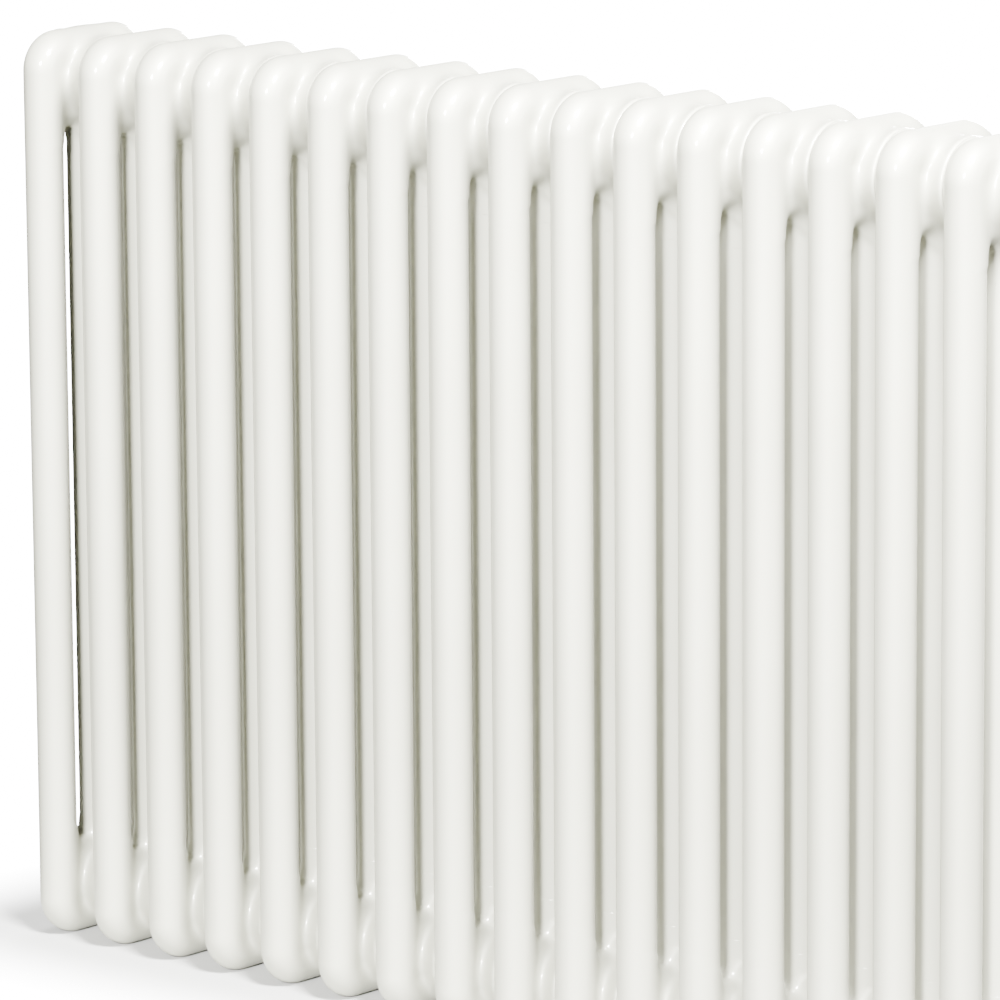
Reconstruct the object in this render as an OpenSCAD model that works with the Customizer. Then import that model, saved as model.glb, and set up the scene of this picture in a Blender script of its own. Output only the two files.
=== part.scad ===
// Multi-column tubular radiator. Sections stand side by side along X, and each section is a welded
// assembly of a top head, a bottom head and a row of round tubes that run between them.
// Origin: on the resting surface, in the middle of the length and of the depth.

/* [Sections] */
// Number of sections side by side
section_count = 16; // [2:1:16]
// Distance between the middles of neighbouring sections
section_pitch = 50; // [48:1:60]
// Overall height
height = 600; // [300:10:1200]
// Distance between neighbouring tubes of a section, front to back
column_pitch = 38; // [37:0.5:42]

/* [Tubes] */
// Outside diameter of a tube
tube_d = 25; // [22:0.5:26]
// Wall of a tube and of a head
wall = 1.5; // [1.2:0.1:2]

/* [Heads] */
// Height of a head, from its end to the weld that joins it to the tubes
head_h = 87; // [84:1:100]
// Distance from a head's end to the middle of its hub
hub_inset = 33; // [31:0.5:35]
// Outside diameter of a hub where it meets the next one
hub_d = 59; // [56:0.5:60]
// Outside diameter of a hub at its waist
hub_waist_d = 50; // [48:0.5:51]
// Bore of a hub
hub_bore_d = 42; // [38:0.5:44]
// Distance from a head's end to the rounded end of the gap between two tubes
gap_inset = 65; // [62:1:70]
// Thickness of the web that closes the space between the tubes of a head
web_t = 20; // [14:0.5:22]

/* [End fittings] */
// Diameter of the threaded socket in an end hub
socket_d = 40; // [38:0.5:40]
// Depth of the threaded socket in an end hub
socket_depth = 16; // [14:0.5:17]
// Diameter of the port in a reducing bush
port_d = 18.64; // [18:0.01:19]
// Diameter of a bush's flange
flange_d = 42; // [42:0.5:44]
// Thickness of a bush's flange
flange_t = 3; // [2:0.5:4]
// Thickness of the flat gasket behind a bush
gasket_t = 1.5; // [1:0.1:2]

/* [Air vent] */
// Diameter of the vent's nose that the spout ring turns on
nose_d = 13; // [12:0.5:14]
// Outside diameter of the spout ring
spout_ring_d = 18; // [17:0.5:19]
// Width of the spout ring
spout_ring_w = 5; // [4:0.5:6]
// Running clearance on the radius between the spout ring and the nose
spout_clearance = 0.1; // [0.05:0.01:0.2]
// Diameter of the bleed screw
bleed_screw_d = 5; // [4.5:0.1:5.5]

/* [Hidden] */
$fn = 48;
// Half of a section's pitch: a hub's face is this far from the section's middle
half_pitch = section_pitch / 2;
// Tubes of a section: two outer ones that bend over into the rib, and the middle one
column_count = 3;
tube_r = tube_d / 2;
bore_r = tube_r - wall;
// Radius left on the inside of the bend over a head
bend_inner_r = 0.5;
// Radius of the centreline of the bend that joins an outer tube to the rib over the head
bend_r = tube_r + bend_inner_r;
// Half of the depth between the axes of the front and the back tube
half_depth = column_pitch * (column_count - 1) / 2;
// Height of a head's parts above the weld, for a head whose weld is at z = 0
rib_z = head_h - tube_r;
bend_z = rib_z - bend_r;
hub_z = head_h - hub_inset;
gap_r = (column_pitch - tube_d) / 2;
gap_z = head_h - gap_inset - gap_r;
// The web's edges stay this far inside the axes of the tubes and of the rib
web_inset = 1.5;
// Length of the cone between a hub's end and its waist
flare = 7;
// Overlap of two pieces of one solid, so that they join cleanly
lap = 0.5;
// How far a cut runs past the face that it opens
past = 1;
half_length = section_count * half_pitch;
// Radii and lengths of the threaded pieces
socket_r = socket_d / 2;
thread_gap = 0.05;
port_r = port_d / 2;
plug_r = port_r - thread_gap;
shank_len = 11;
hex_af = 32;
hex_t = 2;
plug_len = 9;
plug_hex_af = 24;
plug_hex_t = 4;
seal_t = 1;
seal_wall = 2;
key_recess_d = 10;
key_recess_t = 3;
// Positions along the vent's axis, measured outwards from the end of the hub
bush_face = gasket_t + flange_t + hex_t;
vent_hex_t = 3;
// End play of the spout ring between the hexagon and the nose's lip
end_play = 0.3;
vent_hex_start = bush_face + seal_t;
spout_start = vent_hex_start + vent_hex_t + end_play;
nose_end = spout_start + spout_ring_w + end_play;
nose_lip_t = 1;
nose_lip_h = 1;
spout_r_in = nose_d / 2 + spout_clearance;
spout_pipe_d = 4;
spout_pipe_len = 3;
// Length of the spout's root, which is sunk in the ring
spout_root = 2;
spout_hole_d = 2;
screw_r = bleed_screw_d / 2;
screw_gap = 0.05;
screw_head_t = 2.5;
screw_len = 11;
screw_key = 3.6;
seat_ring_t = 1.2;
seat_start = nose_end - screw_len - seat_ring_t;
vent_hole_d = 2.4;
screw_end = nose_end + screw_head_t;
// The left end's fittings stand out further than the right end's, and this centres the whole length
centre_x = (screw_end - bush_face) / 2;
port_z_low = hub_inset;
port_z_high = height - hub_inset;

function two_digits(n) = n < 10 ? str("0", n) : str(n);
function section_x(n) = (n - 0.5) * section_pitch - half_length + centre_x;
function column_y(n) = (n - 1) * column_pitch - half_depth;
sections = [for (n = [1 : section_count]) n];
TOP_HEADS = [for (n = sections) str("top_head_", two_digits(n))];
BOTTOM_HEADS = [for (n = sections) str("bottom_head_", two_digits(n))];
TUBE_ROWS = [for (n = sections) str("tube_row_", two_digits(n))];
FITTINGS = [
    "flow_bush", "return_bush", "vent_bush", "plug_bush", "bush_gaskets",
    "blind_plug", "plug_seal", "vent_body", "vent_seal", "vent_spout", "bleed_screw", "bleed_screw_seat"
];

// A cylinder along X that starts at x and runs outwards
module rod_x(x, len, r) {
    translate([x, 0, 0]) rotate([0, 90, 0]) cylinder(h = len, r = r);
}

// A ring along X that starts at x
module ring_x(x, len, r_out, r_in) {
    difference() {
        rod_x(x, len, r_out);
        rod_x(x - past, len + 2 * past, r_in);
    }
}

// A hexagonal bar along X, given its width across flats
module hex_x(x, len, af) {
    translate([x, 0, 0]) rotate([0, 90, 0]) cylinder(h = len, r = af / sqrt(3), $fn = 6);
}

// The path of the tubes through a head: two bends, the rib between them and the middle tube
module head_path(r, foot) {
    for (side = [-1, 1]) {
        translate([0, side * half_depth, -foot]) cylinder(h = bend_z + foot, r = r);
        translate([0, side * (half_depth - bend_r), bend_z])
            rotate([90, 0, side * 90])
                rotate_extrude(angle = 90) translate([bend_r, 0]) circle(r = r);
    }
    translate([0, bend_r - half_depth, rib_z])
        rotate([-90, 0, 0]) cylinder(h = 2 * (half_depth - bend_r), r = r);
    translate([0, 0, -foot]) cylinder(h = rib_z + foot, r = r);
}

// The web between the tubes of a head, with rounded ends over the gaps
module head_web() {
    web_y = half_depth - web_inset;
    difference() {
        translate([-web_t / 2, -web_y, gap_z]) cube([web_t, 2 * web_y, rib_z - web_inset - gap_z]);
        for (side = [-1, 1])
            translate([0, side * column_pitch / 2, gap_z]) rod_x(-web_t, 2 * web_t, gap_r);
    }
}

// A hub: a waisted tube along X whose ends meet the hubs of the next sections
// With a socket, its -X end stays straight round it
module hub_body(has_socket) {
    straight = has_socket ? socket_depth : lap;
    translate([0, 0, hub_z]) rotate([0, 90, 0]) rotate_extrude()
        polygon([
            [0, -half_pitch], [hub_d / 2, -half_pitch], [hub_d / 2, straight - half_pitch],
            [hub_waist_d / 2, straight + flare - half_pitch], [hub_waist_d / 2, half_pitch - flare - lap],
            [hub_d / 2, half_pitch - lap], [hub_d / 2, half_pitch], [0, half_pitch]
        ]);
}

// One head with its weld at z = 0 and its end up
module head(has_socket) {
    // Behind a socket the hub's bore opens out again
    bore_start = has_socket ? socket_depth - half_pitch : -half_pitch - past;
    difference() {
        union() {
            head_path(tube_r, 0);
            head_web();
            hub_body(has_socket);
        }
        head_path(bore_r, past);
        translate([0, 0, hub_z]) rod_x(bore_start, half_pitch + past - bore_start, hub_bore_d / 2);
        if (has_socket)
            translate([0, 0, hub_z]) rod_x(-half_pitch - past, socket_depth + past + lap, socket_r);
    }
}

// The head of section n: the first and the last one carry a socket on their outer end
module head_of(n) {
    if (n == section_count) mirror([1, 0, 0]) head(true);
    else head(n == 1);
}

module top_head(n) {
    color("white") translate([section_x(n), 0, height - head_h]) head_of(n);
}

module bottom_head(n) {
    color("white") translate([section_x(n), 0, head_h]) mirror([0, 0, 1]) head_of(n);
}

module tube_row(n) {
    color("white")
        for (c = [1 : column_count])
            translate([section_x(n), column_y(c), head_h])
                difference() {
                    cylinder(h = height - 2 * head_h, r = tube_r);
                    translate([0, 0, -past]) cylinder(h = height - 2 * head_h + 2 * past, r = bore_r);
                }
}

// Puts a fitting that points along +X on a hub's end; side is 1 for the right end and -1 for the left
module at_port(side, z) {
    translate([side * half_length + centre_x, 0, z]) rotate([0, 0, side < 0 ? 180 : 0]) children();
}

// A reducing bush: a threaded shank, a round flange and a thin hexagon, with a port through it
module bush() {
    difference() {
        union() {
            rod_x(-shank_len, shank_len + gasket_t + lap, socket_r - thread_gap);
            rod_x(gasket_t, flange_t, flange_d / 2);
            hex_x(gasket_t + flange_t, hex_t, hex_af);
        }
        rod_x(-shank_len - past, shank_len + bush_face + 2 * past, port_r);
    }
}

module flow_bush() {
    color("white") at_port(1, port_z_high) bush();
}

module return_bush() {
    color("white") at_port(1, port_z_low) bush();
}

module vent_bush() {
    color("white") at_port(-1, port_z_high) bush();
}

module plug_bush() {
    color("white") at_port(-1, port_z_low) bush();
}

module bush_gaskets() {
    color("dimgray")
        for (side = [-1, 1])
            for (z = [port_z_low, port_z_high])
                at_port(side, z) ring_x(0, gasket_t, flange_d / 2, socket_r);
}

// A blind plug with a hexagonal key recess
module blind_plug() {
    color("white") at_port(-1, port_z_low)
        difference() {
            union() {
                rod_x(bush_face - plug_len, plug_len + seal_t + lap, plug_r);
                hex_x(bush_face + seal_t, plug_hex_t, plug_hex_af);
            }
            hex_x(bush_face + seal_t + plug_hex_t - key_recess_t, key_recess_t + past, key_recess_d);
        }
}

module plug_seal() {
    color("dimgray") at_port(-1, port_z_low) ring_x(bush_face, seal_t, port_r + seal_wall, port_r);
}

// The vent's body: a threaded shank, a hexagon and a nose with a lip that keeps the spout ring on
module vent_body() {
    color("silver") at_port(-1, port_z_high)
        difference() {
            union() {
                rod_x(bush_face - plug_len, plug_len + seal_t + lap, plug_r);
                hex_x(vent_hex_start, vent_hex_t, plug_hex_af);
                rod_x(vent_hex_start, nose_end - vent_hex_start, nose_d / 2);
                rod_x(nose_end, nose_lip_t, nose_d / 2 + nose_lip_h);
            }
            rod_x(seat_start, nose_end + nose_lip_t - seat_start + past, screw_r + screw_gap);
            rod_x(bush_face - plug_len - past, plug_len + 2 * past + seal_t, vent_hole_d / 2);
            translate([spout_start + spout_ring_w / 2, 0, -nose_d])
                cylinder(h = nose_d, r = vent_hole_d / 2);
        }
}

module vent_seal() {
    color("dimgray") at_port(-1, port_z_high) ring_x(bush_face, seal_t, port_r + seal_wall, port_r);
}

// The ring that turns on the vent's nose, with a short spout pointing down
module vent_spout() {
    color("white") at_port(-1, port_z_high)
        difference() {
            union() {
                rod_x(spout_start, spout_ring_w, spout_ring_d / 2);
                translate([spout_start + spout_ring_w / 2, 0, -spout_ring_d / 2 - spout_pipe_len])
                    cylinder(h = spout_pipe_len + spout_root, r = spout_pipe_d / 2);
            }
            rod_x(spout_start - past, spout_ring_w + 2 * past, spout_r_in);
            translate([spout_start + spout_ring_w / 2, 0, -spout_ring_d])
                cylinder(h = spout_ring_d, r = spout_hole_d / 2);
        }
}

// The bleed screw, with a square key on its outer end
module bleed_screw() {
    color("silver") at_port(-1, port_z_high) {
        rod_x(seat_start + seat_ring_t, screw_len, screw_r);
        translate([nose_end - lap, -screw_key / 2, -screw_key / 2])
            cube([screw_end - nose_end + lap, screw_key, screw_key]);
    }
}

// The soft ring on the tip of the bleed screw, which closes the vent's hole and moves in and out with it
module bleed_screw_seat() {
    color("dimgray") at_port(-1, port_z_high) rod_x(seat_start, seat_ring_t, screw_r);
}

for (n = sections) {
    top_head(n);
    bottom_head(n);
    tube_row(n);
}
flow_bush();
return_bush();
vent_bush();
plug_bush();
bush_gaskets();
blind_plug();
plug_seal();
vent_body();
vent_seal();
vent_spout();
bleed_screw();
bleed_screw_seat();
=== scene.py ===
"""A tubular column radiator under gloss white enamel, on a pale floor with painted shade round its footprint.
"""
import math

import bmesh
import bpy
import numpy as np
from mathutils import Matrix, Vector


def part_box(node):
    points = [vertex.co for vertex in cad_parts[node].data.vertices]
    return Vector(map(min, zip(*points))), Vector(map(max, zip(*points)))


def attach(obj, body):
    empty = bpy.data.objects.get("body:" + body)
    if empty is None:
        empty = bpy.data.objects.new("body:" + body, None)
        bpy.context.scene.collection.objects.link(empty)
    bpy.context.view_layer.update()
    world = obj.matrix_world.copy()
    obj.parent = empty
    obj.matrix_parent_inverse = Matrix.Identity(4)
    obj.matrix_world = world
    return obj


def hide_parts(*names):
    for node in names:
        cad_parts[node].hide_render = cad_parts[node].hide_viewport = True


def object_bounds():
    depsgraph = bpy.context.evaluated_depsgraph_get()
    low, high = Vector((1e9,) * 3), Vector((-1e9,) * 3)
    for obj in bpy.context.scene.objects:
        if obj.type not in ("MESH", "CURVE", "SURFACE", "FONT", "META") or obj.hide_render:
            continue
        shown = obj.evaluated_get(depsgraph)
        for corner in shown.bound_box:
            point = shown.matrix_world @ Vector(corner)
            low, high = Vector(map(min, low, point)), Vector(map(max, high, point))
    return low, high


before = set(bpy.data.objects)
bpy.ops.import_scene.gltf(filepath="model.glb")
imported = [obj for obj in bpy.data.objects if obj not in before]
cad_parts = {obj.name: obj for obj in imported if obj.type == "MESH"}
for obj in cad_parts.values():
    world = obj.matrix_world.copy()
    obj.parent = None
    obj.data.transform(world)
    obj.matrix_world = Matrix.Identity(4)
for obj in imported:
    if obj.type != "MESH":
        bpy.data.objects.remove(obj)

CAD_BOX = [list(corner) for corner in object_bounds()]
MM = 0.001

# ---------------------------------------------------------------- sizes, read from the frame
TOP_HEADS = sorted(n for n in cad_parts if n.startswith("top_head_"))
BOTTOM_HEADS = sorted(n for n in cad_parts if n.startswith("bottom_head_"))
TUBE_ROWS = sorted(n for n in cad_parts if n.startswith("tube_row_"))


def mid(node):
    """The middle of a CAD node's box."""
    low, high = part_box(node)
    return (low + high) / 2


def span(node):
    """The size of a CAD node's box."""
    low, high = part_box(node)
    return high - low


PITCH = span(TOP_HEADS[1]).x
HEAD_H = span(TOP_HEADS[1]).z
TUBE_R = span(TUBE_ROWS[0]).x / 2
HALF_DEPTH = span(TUBE_ROWS[0]).y / 2 - TUBE_R
COLUMN_PITCH = HALF_DEPTH
HUB_Z = mid("flow_bush").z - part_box(TOP_HEADS[0])[0].z
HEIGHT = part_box(TOP_HEADS[0])[1].z
SOCKET_R = span("flow_bush").y / 2 - 1 * MM

# The heads' own proportions
BEND_R = TUBE_R + 0.5 * MM   # centreline radius of the bend from an outer tube into the rib
RIB_Z = HEAD_H - TUBE_R      # height of the rib's centreline above the weld
GAP_R = COLUMN_PITCH / 2 - TUBE_R
GAP_TOP = HEAD_H - 65 * MM   # top of the rounded gap between two tubes, above the weld
WEB_HALF = 9.5 * MM
LIP_REACH = 14 * MM          # how far the rounded lip of a gap reaches up the web's face
HUB_END_R = 29.4 * MM
HUB_WAIST_R = 25 * MM
TIP_GAP = 0.03 * MM          # between the bleed screw's tip and its soft seat, so that they do not touch
HUB_RIM_R = 2.6 * MM          # rounding of a hub's rim, which shows as a seam between two sections
HALF_PITCH = PITCH / 2
WELD_LAP = 1.2 * MM          # a tube's outside reaches this far over the end of each head
LAP_HEIGHT = 0.03 * MM       # how far that lap stands over the head's end
RIM_ANGLE = math.radians(50)  # edges that turn more than this stay crisp


# ---------------------------------------------------------------- materials
def new_material(name):
    material = bpy.data.materials.new(name)
    material.use_nodes = True
    tree = material.node_tree
    return material, tree, tree.nodes["Principled BSDF"]


def add_noise(tree, scale, detail=2.0, roughness=0.5):
    coords = tree.nodes.new("ShaderNodeTexCoord")
    noise = tree.nodes.new("ShaderNodeTexNoise")
    noise.inputs["Scale"].default_value = scale
    noise.inputs["Detail"].default_value = detail
    noise.inputs["Roughness"].default_value = roughness
    tree.links.new(coords.outputs["Object"], noise.inputs["Vector"])
    return noise


def add_bump(tree, shader, noise, strength, distance):
    bump = tree.nodes.new("ShaderNodeBump")
    bump.inputs["Strength"].default_value = strength
    bump.inputs["Distance"].default_value = distance
    tree.links.new(noise.outputs["Fac"], bump.inputs["Height"])
    tree.links.new(bump.outputs["Normal"], shader.inputs["Normal"])


def add_range(tree, noise, socket, low, high):
    """Drives a shader socket with noise, between two values."""
    spread = tree.nodes.new("ShaderNodeMapRange")
    spread.inputs["To Min"].default_value = low
    spread.inputs["To Max"].default_value = high
    tree.links.new(noise.outputs["Fac"], spread.inputs["Value"])
    tree.links.new(spread.outputs["Result"], socket)


def add_tint(tree, noise, socket, dark, light):
    """Drives a colour socket with noise, between two colours."""
    ramp = tree.nodes.new("ShaderNodeValToRGB")
    ramp.color_ramp.elements[0].position = 0.3
    ramp.color_ramp.elements[0].color = (*dark, 1)
    ramp.color_ramp.elements[1].position = 0.7
    ramp.color_ramp.elements[1].color = (*light, 1)
    tree.links.new(noise.outputs["Fac"], ramp.inputs["Fac"])
    tree.links.new(ramp.outputs["Color"], socket)


def enamel_material():
    """Gloss white stove enamel: a faint orange peel, and a barely uneven white."""
    material, tree, shader = new_material("white_enamel")
    add_tint(tree, add_noise(tree, 9), shader.inputs["Base Color"], (0.31, 0.31, 0.250), (0.33, 0.33, 0.268))
    add_range(tree, add_noise(tree, 60), shader.inputs["Roughness"], 0.56, 0.62)
    add_bump(tree, shader, add_noise(tree, 260, 3), 0.05, 0.4 * MM)
    shader.inputs["Metallic"].default_value = 0.3
    shader.inputs["Coat Weight"].default_value = 0.5
    shader.inputs["Coat Roughness"].default_value = 0.14
    return material


def fitting_enamel_material():
    """The same enamel on turned steel, a little duller and with a finer peel."""
    material, tree, shader = new_material("fitting_enamel")
    add_tint(tree, add_noise(tree, 30), shader.inputs["Base Color"], (0.31, 0.31, 0.250), (0.33, 0.33, 0.268))
    add_range(tree, add_noise(tree, 150), shader.inputs["Roughness"], 0.2, 0.3)
    add_bump(tree, shader, add_noise(tree, 500, 3), 0.06, 0.3 * MM)
    shader.inputs["Coat Weight"].default_value = 0.4
    shader.inputs["Coat Roughness"].default_value = 0.12
    return material


def rubber_material():
    """Flat black sealing rubber with a fine grain."""
    material, tree, shader = new_material("seal_rubber")
    grain = add_noise(tree, 400, 3)
    add_tint(tree, grain, shader.inputs["Base Color"], (0.018, 0.018, 0.018), (0.04, 0.04, 0.04))
    add_range(tree, add_noise(tree, 900), shader.inputs["Roughness"], 0.65, 0.85)
    add_bump(tree, shader, add_noise(tree, 2500, 2), 0.2, 0.1 * MM)
    return material


def nickel_material():
    """Bright nickel plate with fine turning marks."""
    material, tree, shader = new_material("nickel_plate")
    add_tint(tree, add_noise(tree, 120), shader.inputs["Base Color"], (0.62, 0.60, 0.56), (0.72, 0.70, 0.66))
    add_range(tree, add_noise(tree, 700), shader.inputs["Roughness"], 0.14, 0.3)
    add_bump(tree, shader, add_noise(tree, 1500, 2), 0.05, 0.05 * MM)
    shader.inputs["Metallic"].default_value = 1.0
    return material


def plastic_material():
    """White moulded plastic with a light spark-eroded texture."""
    material, tree, shader = new_material("spout_plastic")
    add_tint(tree, add_noise(tree, 80), shader.inputs["Base Color"], (0.76, 0.76, 0.74), (0.8, 0.8, 0.78))
    add_range(tree, add_noise(tree, 500), shader.inputs["Roughness"], 0.35, 0.48)
    add_bump(tree, shader, add_noise(tree, 3000, 2), 0.12, 0.05 * MM)
    return material


ENAMEL = enamel_material()
FITTING_ENAMEL = fitting_enamel_material()
RUBBER = rubber_material()
NICKEL = nickel_material()
PLASTIC = plastic_material()


# ---------------------------------------------------------------- smooth solids from distance fields
def smooth_min(a, b, k):
    h = np.maximum(k - np.abs(a - b), 0) / k
    return np.minimum(a, b) - h * h * k / 4


def smooth_max(a, b, k):
    return -smooth_min(-a, -b, k)


def head_field(x, y, z, boss):
    """Signed distance to a head with its weld at z = 0. boss is -1 or 1 for an end that carries a socket."""
    # The bends and the rib: a tube along the outline of a rounded rectangle that is open at the bottom
    qy = np.abs(y) - (HALF_DEPTH - BEND_R)
    qz = z - (RIB_Z - BEND_R)
    outline = np.hypot(np.maximum(qy, 0), np.maximum(qz, 0)) + np.minimum(np.maximum(qy, qz), 0) - BEND_R
    path = np.hypot(outline, x) - TUBE_R + LAP_HEIGHT * np.clip(2 - z / (2 * MM), 0, 1)
    above = np.maximum(z - (RIB_Z - TUBE_R), 0)
    middle = np.sqrt(x * x + y * y + above * above) - TUBE_R
    # The web, with the rounded tops of the gaps cut out of it
    gap = np.hypot(np.abs(y) - COLUMN_PITCH / 2, np.maximum(z - (GAP_TOP - GAP_R), 0)) - GAP_R
    web = smooth_max(outline, np.abs(x) - WEB_HALF, 2 * MM)
    web = np.maximum(web, GAP_TOP - GAP_R - z)
    web = smooth_max(web, -gap, LIP_REACH)
    # The hub, which swells towards the faces where it meets its neighbours and has a rounded rim there
    rho = np.hypot(y, z - HUB_Z)
    reach = np.minimum(np.abs(x) / HALF_PITCH, 1)
    radius = HUB_WAIST_R + (HUB_END_R - HUB_WAIST_R) * reach ** 1.5
    from_face = HALF_PITCH - np.abs(x)
    into_rim = np.clip(HUB_RIM_R - from_face, 0, HUB_RIM_R)
    rim_drop = HUB_RIM_R - np.sqrt(HUB_RIM_R ** 2 - into_rim ** 2)
    radius = radius - rim_drop
    if boss:
        straight = HUB_END_R - 0.1 * MM
        radius = np.where(x * boss > 0, np.maximum(HUB_WAIST_R, straight - rim_drop), radius)
    hub = rho - radius
    solid = smooth_min(path, middle, 2 * MM)
    solid = smooth_min(solid, web, 5 * MM)
    solid = smooth_min(solid, hub, 8 * MM)
    solid = np.maximum(solid, np.abs(x) - HALF_PITCH)
    solid = np.maximum(solid, -z)
    solid = np.maximum(solid, z - HEAD_H)
    if boss:
        inside = np.maximum(rho - (SOCKET_R - 0.2 * MM), -x * boss)
        solid = np.maximum(solid, -inside)
    return solid


def grid_line(low, high, step, fine_from, fine_step):
    """Sample places from low to high, closer together within fine_from of each end in the list."""
    places = [low]
    while places[-1] < high:
        near = any(abs(places[-1] - f) < 2.2 * MM for f in fine_from)
        places.append(places[-1] + (fine_step if near else step))
    return np.array(places)


def surface_net(field, xs, ys, zs):
    """Polygonises a distance field with one vertex a grid cell, then pulls them onto the surface."""
    gx, gy, gz = np.meshgrid(xs, ys, zs, indexing="ij")
    value = field(gx, gy, gz)
    inside = value < 0
    lines = (xs, ys, zs)
    cells = tuple(n - 1 for n in value.shape)
    total = np.zeros(cells + (3,))
    count = np.zeros(cells)
    crossings = []
    for axis in range(3):
        low = [slice(None)] * 3
        high = [slice(None)] * 3
        low[axis], high[axis] = slice(0, -1), slice(1, None)
        low, high = tuple(low), tuple(high)
        cross = inside[low] != inside[high]
        gap = value[low] - value[high]
        t = np.where(cross, value[low] / np.where(gap == 0, 1, gap), 0)
        point = np.stack([gx[low], gy[low], gz[low]], axis=-1)
        width = np.diff(lines[axis]).reshape([-1 if a == axis else 1 for a in range(3)])
        point[..., axis] += t * width
        others = [a for a in range(3) if a != axis]
        for da in (0, 1):
            for db in (0, 1):
                part = [slice(None)] * 3
                part[others[0]] = slice(da, cells[others[0]] + da)
                part[others[1]] = slice(db, cells[others[1]] + db)
                part = tuple(part)
                total += np.where(cross[part][..., None], point[part], 0)
                count += cross[part]
        crossings.append((axis, others, cross, inside[low]))
    active = count > 0
    number = np.full(cells, -1)
    number[active] = np.arange(active.sum())
    points = total[active] / count[active][:, None]
    faces = []
    for axis, (a, b), cross, starts_inside in crossings:
        index = np.argwhere(cross)
        index = index[(index[:, a] > 0) & (index[:, a] < cells[a])]
        index = index[(index[:, b] > 0) & (index[:, b] < cells[b])]
        corners = []
        for da, db in ((1, 1), (0, 1), (0, 0), (1, 0)):
            cell = index.copy()
            cell[:, a] -= da
            cell[:, b] -= db
            corners.append(number[tuple(cell.T)])
        quads = np.stack(corners, axis=1)
        turn = starts_inside[tuple(index.T)] == (axis == 1)
        quads[turn] = quads[turn][:, ::-1]
        faces.append(quads)
    step = 0.05 * MM
    for _ in range(4):
        at = field(*points.T)
        ahead = [field(*(points + step * e).T) for e in np.eye(3)]
        behind = [field(*(points - step * e).T) for e in np.eye(3)]
        slope = np.stack([f - b for f, b in zip(ahead, behind)], axis=1)
        slope /= 2 * step
        size = np.maximum((slope ** 2).sum(1), 0.25)
        move = -slope * (at / size)[:, None]
        length = np.linalg.norm(move, axis=1)
        points += move * np.minimum(1, 0.5 * MM / np.maximum(length, 1e-9))[:, None]
    return points, np.concatenate(faces)


def mesh_from(name, points, faces):
    mesh = bpy.data.meshes.new(name)
    mesh.from_pydata([tuple(p) for p in points], [], [tuple(int(i) for i in f) for f in faces])
    mesh.validate()
    mesh.polygons.foreach_set("use_smooth", [True] * len(mesh.polygons))
    mesh.set_sharp_from_angle(angle=RIM_ANGLE)
    mesh.update()
    return mesh


def head_mesh(name, boss):
    coarse, fine = 1.5 * MM, 0.45 * MM
    edge = 0.7 * MM
    xs = grid_line(-HALF_PITCH - edge, HALF_PITCH + edge, coarse, (-HALF_PITCH, HALF_PITCH), fine)
    ys = grid_line(-HALF_DEPTH - TUBE_R - edge, HALF_DEPTH + TUBE_R + edge + coarse, coarse, (), fine)
    zs = grid_line(-edge, HEAD_H + edge + coarse, coarse, (0,), fine)
    points, faces = surface_net(lambda x, y, z: head_field(x, y, z, boss), xs, ys, zs)
    return mesh_from(name, points, faces)


def mirrored_mesh(mesh, name):
    """The same mesh upside down."""
    turned = mesh.copy()
    turned.name = name
    turned.transform(Matrix.Scale(-1, 4, Vector((0, 0, 1))))
    turned.flip_normals()
    return turned


def place(name, mesh, at, node, material, body="radiator"):
    """Makes a piece that stands for a CAD node."""
    piece = bpy.data.objects.new(name, mesh)
    bpy.context.scene.collection.objects.link(piece)
    piece.location = at
    if not mesh.materials:
        mesh.materials.append(material)
    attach(piece, body)
    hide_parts(node)
    return piece


def lathe(profile, steps=96):
    """Turns a list of (radius, height) points about Z into a closed ring-shaped solid."""
    points = []
    for k in range(steps):
        a = 2 * math.pi * k / steps
        points += [(r * math.cos(a), r * math.sin(a), h) for r, h in profile]
    n = len(profile)
    faces = []
    for k in range(steps):
        m = (k + 1) % steps
        for j in range(n):
            i = (j + 1) % n
            faces.append((k * n + j, m * n + j, m * n + i, k * n + i))
    return points, faces


def tube_row_mesh(name):
    """Three hollow tubes, whose outsides lap over the ends of the heads and hide the dressed welds."""
    length = span(TUBE_ROWS[0]).z
    bore = TUBE_R - 1.5 * MM
    rim = TUBE_R - LAP_HEIGHT
    profile = [(rim, -WELD_LAP), (TUBE_R, 0), (TUBE_R, length), (rim, length + WELD_LAP),
               (bore, length), (bore, 0)]
    points, faces = lathe(profile)
    everything, all_faces = [], []
    for y in (-COLUMN_PITCH, 0, COLUMN_PITCH):
        base = len(everything)
        everything += [(p[0], p[1] + y, p[2]) for p in points]
        all_faces += [tuple(base + i for i in f) for f in faces]
    return mesh_from(name, everything, all_faces)


# ---------------------------------------------------------------- the radiator
def build_sections():
    inner = head_mesh("head", 0)
    left = head_mesh("head_left", -1)
    right = head_mesh("head_right", 1)
    tubes = tube_row_mesh("tube_row")
    last = len(TOP_HEADS) - 1
    for upper in (True, False):
        shapes = [inner, left, right]
        if not upper:
            shapes = [mirrored_mesh(s, s.name + "_low") for s in shapes]
        for k, node in enumerate(TOP_HEADS if upper else BOTTOM_HEADS):
            low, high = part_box(node)
            mesh = shapes[1] if k == 0 else shapes[2] if k == last else shapes[0]
            weld_z = low.z if upper else high.z
            place("shown_" + node, mesh, (mid(node).x, 0, weld_z), node, ENAMEL)
    for node in TUBE_ROWS:
        low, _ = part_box(node)
        place("shown_" + node, tubes, (mid(node).x, 0, low.z), node, ENAMEL)


# ---------------------------------------------------------------- fittings, turned about their own axis
def hexagon(across_flats, limit):
    """Radius of a hexagonal bar at an angle, cut round to a limit where it is chamfered."""
    sixth = math.pi / 3
    return lambda angle: min(across_flats / 2 / math.cos((angle + sixth / 2) % sixth - sixth / 2), limit)


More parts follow.
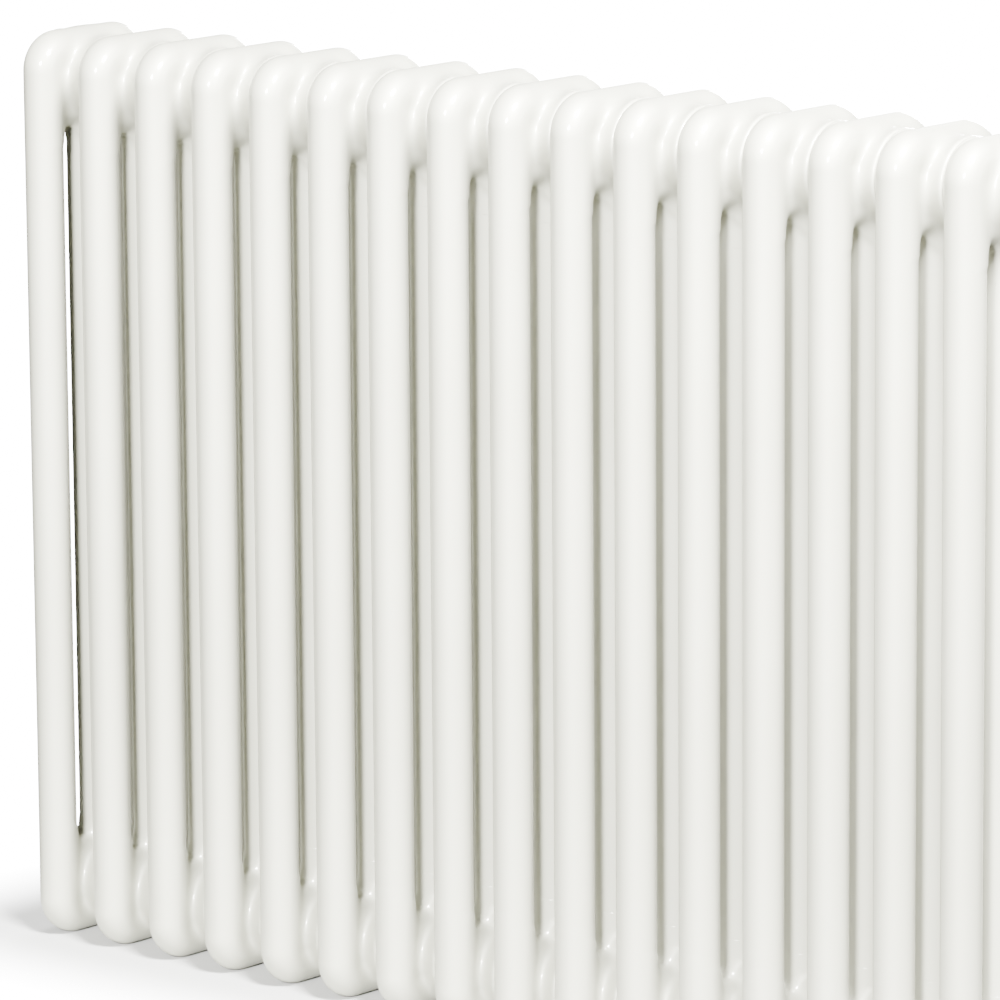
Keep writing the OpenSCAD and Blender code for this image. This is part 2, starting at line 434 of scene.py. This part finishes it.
def thread_rings(start, end, minor_r, depth, pitch):
    """Rings of an inside thread: the groove's place turns with the angle, so it winds as a helix."""
    def ring(x):
        def radius(angle):
            turn = (x / pitch - angle / (2 * math.pi)) % 1
            return minor_r + depth * max(0, 1 - abs(turn - 0.5) * 2.6)
        return radius
    count = round(abs(end - start) / (pitch / 6))
    places = [start + (end - start) * k / count for k in range(count + 1)]
    return [(x, ring(x)) for x in places]


def turned(rings, closed=True, steps=120):
    """A solid turned about X from rings of (x, radius); a radius may be a function of the angle."""
    points, faces = [], []
    n = len(rings)
    for k in range(steps):
        angle = 2 * math.pi * k / steps
        for x, r in rings:
            radius = r(angle) if callable(r) else r
            points.append((x, radius * math.cos(angle), radius * math.sin(angle)))
    for k in range(steps):
        m = (k + 1) % steps
        for j in range(n if closed else n - 1):
            i = (j + 1) % n
            faces.append((k * n + j, k * n + i, m * n + i, m * n + j))
    return points, faces


def finished(name, parts, sharp=35):
    """Joins shells of (points, faces) into one mesh with outward normals and crisp edges."""
    shell = bmesh.new()
    for points, faces in parts:
        corners = [shell.verts.new(p) for p in points]
        for face in faces:
            shell.faces.new([corners[i] for i in face])
    bmesh.ops.remove_doubles(shell, verts=shell.verts, dist=0.002 * MM)
    bmesh.ops.dissolve_degenerate(shell, edges=shell.edges, dist=0.002 * MM)
    bmesh.ops.recalc_face_normals(shell, faces=shell.faces)
    mesh = bpy.data.meshes.new(name)
    shell.to_mesh(mesh)
    shell.free()
    mesh.polygons.foreach_set("use_smooth", [True] * len(mesh.polygons))
    mesh.set_sharp_from_angle(angle=math.radians(sharp))
    return mesh


def rounded(x0, x1, r_in, r_out, soft):
    """Rings of a disc's outside from x0 to x1 with softened edges, between two radii."""
    s = 1 if x1 > x0 else -1
    return [(x0, r_in), (x0, r_out - soft), (x0 + s * soft * 0.3, r_out - soft * 0.3), (x0 + s * soft, r_out),
            (x1 - s * soft, r_out), (x1 - s * soft * 0.3, r_out - soft * 0.3), (x1, r_out - soft), (x1, r_in)]


FACE_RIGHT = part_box(TOP_HEADS[-1])[1].x
FACE_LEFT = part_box(TOP_HEADS[0])[0].x


def reach(node):
    """Where a fitting starts and ends, measured outwards from the end hub's face."""
    low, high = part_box(node)
    if mid(node).x > 0:
        return low.x - FACE_RIGHT, high.x - FACE_RIGHT
    return FACE_LEFT - high.x, FACE_LEFT - low.x


GASKET_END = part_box("bush_gaskets")[1].x - FACE_RIGHT
BUSH_START, BUSH_END = reach("flow_bush")
SEAL_END = reach("vent_seal")[1]
PORT_R = 9.32 * MM           # G1/2 thread at its crests
PORT_DEPTH = 1.1 * MM
PORT_PITCH = 1.814 * MM


def bush_shape():
    """A reducing bush: shank, softened flange, chamfered thin hexagon and a threaded port."""
    flange_r = span("flow_bush").y / 2
    hex_start = BUSH_END - 2 * MM
    mouth = PORT_R + PORT_DEPTH
    rings = [(BUSH_START, mouth), (BUSH_START, SOCKET_R - 1 * MM), (BUSH_START + 1 * MM, SOCKET_R - 0.1 * MM),
             (GASKET_END, SOCKET_R - 0.1 * MM)]
    rings += rounded(GASKET_END, hex_start, SOCKET_R - 0.1 * MM, flange_r, 0.7 * MM)[1:-1]
    rings += [(hex_start, hexagon(32 * MM, 18.2 * MM)), (BUSH_END - 0.7 * MM, hexagon(32 * MM, 18.2 * MM)),
              (BUSH_END, hexagon(32 * MM, 16.4 * MM)), (BUSH_END, mouth + 0.9 * MM)]
    rings += thread_rings(BUSH_END - 0.9 * MM, BUSH_START + 0.5 * MM, PORT_R, PORT_DEPTH, PORT_PITCH)
    return [turned(rings)]


def ring_shape(start, end, r_in, r_out, soft):
    """A flat sealing ring whose outer edge is squeezed round."""
    return [turned(rounded(start, end, r_in, r_out, soft))]


def solid_rings(rings):
    """Closes an outside profile down to the axis at both ends."""
    return [(rings[0][0], 0.0)] + rings + [(rings[-1][0], 0.0)]


def plug_shape():
    """A blind plug: shank, chamfered hexagon and a hexagonal key recess."""
    start, end = reach("blind_plug")
    shank = PORT_R - 0.1 * MM
    hex_af, limit = 24 * MM, 13.4 * MM
    rings = [(start, shank - 0.8 * MM), (start + 0.8 * MM, shank), (SEAL_END, shank),
             (SEAL_END, hexagon(hex_af, 12.2 * MM)), (SEAL_END + 0.6 * MM, hexagon(hex_af, limit)),
             (end - 0.8 * MM, hexagon(hex_af, limit)), (end, hexagon(hex_af, 12.0 * MM)),
             (end, 6.4 * MM), (end - 0.6 * MM, hexagon(10 * MM, 5.77 * MM)),
             (end - 3 * MM, hexagon(10 * MM, 5.77 * MM))]
    return [turned(solid_rings(rings), closed=False)]


def vent_shape():
    """The vent's body: shank, hexagon, polished nose, lip and the socket of the bleed screw."""
    start, end = reach("vent_body")
    spout_start, spout_end = reach("vent_spout")
    shank = PORT_R - 0.1 * MM
    nose = 6.5 * MM
    hex_end = spout_start - 0.3 * MM
    hex_af, limit = 24 * MM, 13.4 * MM
    rings = [(start, shank - 0.8 * MM), (start + 0.8 * MM, shank), (SEAL_END, shank),
             (SEAL_END, hexagon(hex_af, 12.2 * MM)), (SEAL_END + 0.5 * MM, hexagon(hex_af, limit)),
             (hex_end - 0.7 * MM, hexagon(hex_af, limit)), (hex_end, hexagon(hex_af, 12.0 * MM)),
             (hex_end, nose), (spout_end + 0.3 * MM, nose)]
    rings += rounded(spout_end + 0.3 * MM, end, nose, nose + 1 * MM, 0.3 * MM)[1:-1]
    rings += [(end, 3.1 * MM), (end - 0.4 * MM, 2.56 * MM), (end - 4 * MM, 2.56 * MM), (end - 4 * MM, 0)]
    return [turned([(start, 0.0)] + rings, closed=False)]


def spout_shape():
    """The ring that turns on the vent's nose: finger ribs round it and a short spout on one side."""
    start, end = reach("vent_spout")
    r_out = span("vent_spout").y / 2
    r_in = 6.6 * MM
    rib = lambda angle: r_out - 0.22 * MM * (0.5 - 0.5 * math.cos(28 * angle))
    rings = [(start, r_in), (start, r_out - 0.6 * MM), (start + 0.5 * MM, rib), (end - 0.5 * MM, rib),
             (end, r_out - 0.6 * MM), (end, r_in + 0.3 * MM), (end - 0.3 * MM, r_in)]
    ring = turned(rings, steps=224)
    # The spout: a short hollow pipe that points down, with a softened tip
    tip = -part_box("vent_spout")[0].z + mid("vent_bush").z
    outside = [(r_out - 1 * MM, 1.3 * MM), (r_out - 1 * MM, 2 * MM), (tip - 0.4 * MM, 1.9 * MM),
               (tip, 1.55 * MM), (tip, 1.1 * MM), (tip - 0.3 * MM, 1 * MM), (r_out - 1 * MM, 1 * MM)]
    points, faces = turned(outside, steps=48)
    middle = (start + end) / 2
    pipe = [(middle + y, z, -x) for x, y, z in points]
    return [ring, (pipe, faces)]


def screw_shape():
    """The bleed screw: a rod with a square key whose corners are turned down."""
    start, end = reach("bleed_screw")
    key_start = end - 2.5 * MM
    fourth = math.pi / 2
    square = lambda angle: min(1.8 * MM / math.cos((angle + fourth / 2) % fourth - fourth / 2), 2.35 * MM)
    rings = [(start, 2.5 * MM), (key_start - 0.3 * MM, 2.5 * MM), (key_start, 2.3 * MM), (key_start, square),
             (end - 0.4 * MM, square), (end, 1.5 * MM), (end, 0.5 * MM), (end - 0.3 * MM, 0.25 * MM)]
    return [turned(solid_rings(rings), closed=False)]


def seat_shape():
    start, end = reach("bleed_screw_seat")
    end -= TIP_GAP
    rings = [(start, 2.1 * MM), (start + 0.3 * MM, 2.45 * MM), (end, 2.45 * MM)]
    return [turned(solid_rings(rings), closed=False)]


def build_fittings():
    shapes = {
        "flow_bush": (bush_shape, FITTING_ENAMEL, "fitting_enamel", "radiator"),
        "return_bush": (bush_shape, FITTING_ENAMEL, "fitting_enamel", "radiator"),
        "vent_bush": (bush_shape, FITTING_ENAMEL, "fitting_enamel", "radiator"),
        "plug_bush": (bush_shape, FITTING_ENAMEL, "fitting_enamel", "radiator"),
        "blind_plug": (plug_shape, FITTING_ENAMEL, "fitting_enamel", "radiator"),
        "plug_seal": (lambda: ring_shape(BUSH_END, SEAL_END, PORT_R, PORT_R + 2 * MM, 0.4 * MM), RUBBER,
                      "seal_rubber", "radiator"),
        "vent_seal": (lambda: ring_shape(BUSH_END, SEAL_END, PORT_R, PORT_R + 2 * MM, 0.4 * MM), RUBBER,
                      "seal_rubber", "radiator"),
        "vent_body": (vent_shape, NICKEL, "nickel_plate", "radiator"),
        "vent_spout": (spout_shape, PLASTIC, "spout_plastic", "spout"),
        "bleed_screw": (screw_shape, NICKEL, "nickel_plate", "screw"),
        "bleed_screw_seat": (seat_shape, RUBBER, "seal_rubber", "screw_seat"),
    }
    for node, (shape, material, slot, body) in shapes.items():
        mesh = finished(node, shape())
        turn_to_port(mesh, mid(node).x > 0)
        side_x = FACE_RIGHT if mid(node).x > 0 else FACE_LEFT
        height = mid("vent_bush" if body != "radiator" else node).z
        place("shown_" + node, mesh, (side_x, 0, height), node, material, body)
    flange_r = span("flow_bush").y / 2
    gaskets = []
    for right in (True, False):
        for bush in ("flow_bush", "return_bush"):
            points, faces = ring_shape(0, GASKET_END, SOCKET_R, flange_r - 0.2 * MM, 0.5 * MM)[0]
            sign, side_x = (1, FACE_RIGHT) if right else (-1, FACE_LEFT)
            gaskets.append(([(side_x + sign * x, sign * y, z + mid(bush).z) for x, y, z in points], faces))
    mesh = finished("bush_gaskets", gaskets)
    place("shown_bush_gaskets", mesh, (0, 0, 0), "bush_gaskets", RUBBER, "radiator")


def turn_to_port(mesh, right):
    """Fittings are made pointing along +X; those of the left end are turned half round."""
    if not right:
        mesh.transform(Matrix.Rotation(math.pi, 4, "Z"))


# ---------------------------------------------------------------- stage, light and camera
FLOOR_SHADE_FADE = (0.005, 0.14)    # distances from the footprint between which the floor's painted grey shade fades into the white sweep, in metres
CAMERA_AZIMUTH = 41.522       # degrees to the right of the radiator's front
CAMERA_ELEVATION = 11.516
CAMERA_ROLL = -0.418
CAMERA_DISTANCE = 4.2546      # from the point that it looks at, on the radiator's front, in metres
CAMERA_AIM_X = 0.0331
CAMERA_AIM_Z = 0.3465
CAMERA_LENS = 250.3          # in millimetres, on a sensor 36 mm wide
SWEEP_LIGHT = 20             # brightness of the white sweep, which is seen but lights nothing


def footprint_distance(tree):
    """A node value: the distance along the floor from the radiator's footprint, in metres."""
    coords = tree.nodes.new("ShaderNodeTexCoord")
    magnitude = tree.nodes.new("ShaderNodeVectorMath")
    magnitude.operation = "ABSOLUTE"
    beyond = tree.nodes.new("ShaderNodeVectorMath")
    beyond.operation = "SUBTRACT"
    beyond.inputs[1].default_value = (CAD_BOX[1][0], CAD_BOX[1][1], 0)
    clamped = tree.nodes.new("ShaderNodeVectorMath")
    clamped.operation = "MAXIMUM"
    clamped.inputs[1].default_value = (0, 0, 0)
    length = tree.nodes.new("ShaderNodeVectorMath")
    length.operation = "LENGTH"
    tree.links.new(coords.outputs["Object"], magnitude.inputs[0])
    tree.links.new(magnitude.outputs["Vector"], beyond.inputs[0])
    tree.links.new(beyond.outputs["Vector"], clamped.inputs[0])
    tree.links.new(clamped.outputs["Vector"], length.inputs[0])
    return length.outputs["Value"]


def make_plane(name, z, reach, material):
    mesh = bpy.data.meshes.new(name)
    corners = [(-reach, -reach, z), (reach, -reach, z), (reach, reach, z), (-reach, reach, z)]
    mesh.from_pydata(corners, [], [(0, 1, 2, 3)])
    mesh.materials.append(material)
    plane = bpy.data.objects.new(name, mesh)
    bpy.context.scene.collection.objects.link(plane)
    return plane


def make_floor():
    """A pale grey floor that takes the shadows; its grey is painted shade round the radiator's footprint,
    which fades with distance into a brightly lit white sweep.
    """
    material, tree, shader = new_material("floor")
    # painted shade: this grey floor colour shows only near the footprint, where the fade below keeps it
    add_tint(tree, add_noise(tree, 0.8), shader.inputs["Base Color"], (0.28, 0.28, 0.27), (0.30, 0.30, 0.29))
    shader.inputs["Roughness"].default_value = 0.9
    # the painted shade fades out with distance from the footprint, whatever the light does
    fade = tree.nodes.new("ShaderNodeMapRange")
    fade.interpolation_type = "SMOOTHSTEP"
    fade.inputs["From Min"].default_value = FLOOR_SHADE_FADE[0]
    fade.inputs["From Max"].default_value = FLOOR_SHADE_FADE[1]
    clear = tree.nodes.new("ShaderNodeBsdfTransparent")
    mix = tree.nodes.new("ShaderNodeMixShader")
    tree.links.new(footprint_distance(tree), fade.inputs["Value"])
    tree.links.new(fade.outputs["Result"], mix.inputs["Fac"])
    tree.links.new(shader.outputs["BSDF"], mix.inputs[1])
    tree.links.new(clear.outputs["BSDF"], mix.inputs[2])
    tree.links.new(mix.outputs["Shader"], tree.nodes["Material Output"].inputs["Surface"])
    make_plane("floor", 0, 3, material)
    glow, tree, shader = new_material("sweep")
    emission = tree.nodes.new("ShaderNodeEmission")
    emission.inputs["Strength"].default_value = SWEEP_LIGHT
    tree.links.new(emission.outputs["Emission"], tree.nodes["Material Output"].inputs["Surface"])
    sweep = make_plane("sweep", -5 * MM, 60, glow)
    sweep.visible_diffuse = False
    sweep.visible_glossy = False
    sweep.visible_shadow = False


def add_area(name, azimuth, elevation, distance, size, power):
    """A soft box that looks at the radiator's middle from an azimuth and an elevation in degrees."""
    a, e = math.radians(azimuth), math.radians(elevation)
    back = Vector((math.sin(a) * math.cos(e), -math.cos(a) * math.cos(e), math.sin(e)))
    light = bpy.data.lights.new(name, "AREA")
    light.shape = "DISK"
    light.size = size
    light.energy = power
    lamp = bpy.data.objects.new(name, light)
    bpy.context.scene.collection.objects.link(lamp)
    lamp.location = Vector((0, 0, HEIGHT * 0.7)) + back * distance
    lamp.rotation_euler = (-back).to_track_quat("-Z", "Y").to_euler()
    return lamp


def make_light():
    world = bpy.data.worlds.new("studio")
    bpy.context.scene.world = world
    world.use_nodes = True
    world.node_tree.nodes["Background"].inputs["Color"].default_value = (1, 1, 1, 1)
    world.node_tree.nodes["Background"].inputs["Strength"].default_value = 0.02
    add_area("key", azimuth=64, elevation=50, distance=1.9, size=0.6, power=860)
    add_area("front", azimuth=27, elevation=20, distance=8, size=1.4, power=6400)
    add_area("back", azimuth=205, elevation=10, distance=6, size=1.6, power=1700)


def make_camera():
    """The camera stands in front of the right end, looks a little down and frames the left and upper part."""
    azimuth, elevation = math.radians(CAMERA_AZIMUTH), math.radians(CAMERA_ELEVATION)
    back = Vector((math.sin(azimuth) * math.cos(elevation), -math.cos(azimuth) * math.cos(elevation),
                   math.sin(elevation)))
    aim = Vector((CAMERA_AIM_X, CAD_BOX[0][1], CAMERA_AIM_Z))
    data = bpy.data.cameras.new("camera")
    data.lens = CAMERA_LENS
    data.clip_end = 100
    camera = bpy.data.objects.new("camera", data)
    bpy.context.scene.collection.objects.link(camera)
    camera.location = aim + back * CAMERA_DISTANCE
    roll = Matrix.Rotation(math.radians(CAMERA_ROLL), 3, "Z").to_quaternion()
    camera.rotation_mode = "QUATERNION"
    camera.rotation_quaternion = (-back).to_track_quat("-Z", "Y") @ roll
    bpy.context.scene.camera = camera


make_camera()
build_sections()
build_fittings()
make_floor()
make_light()
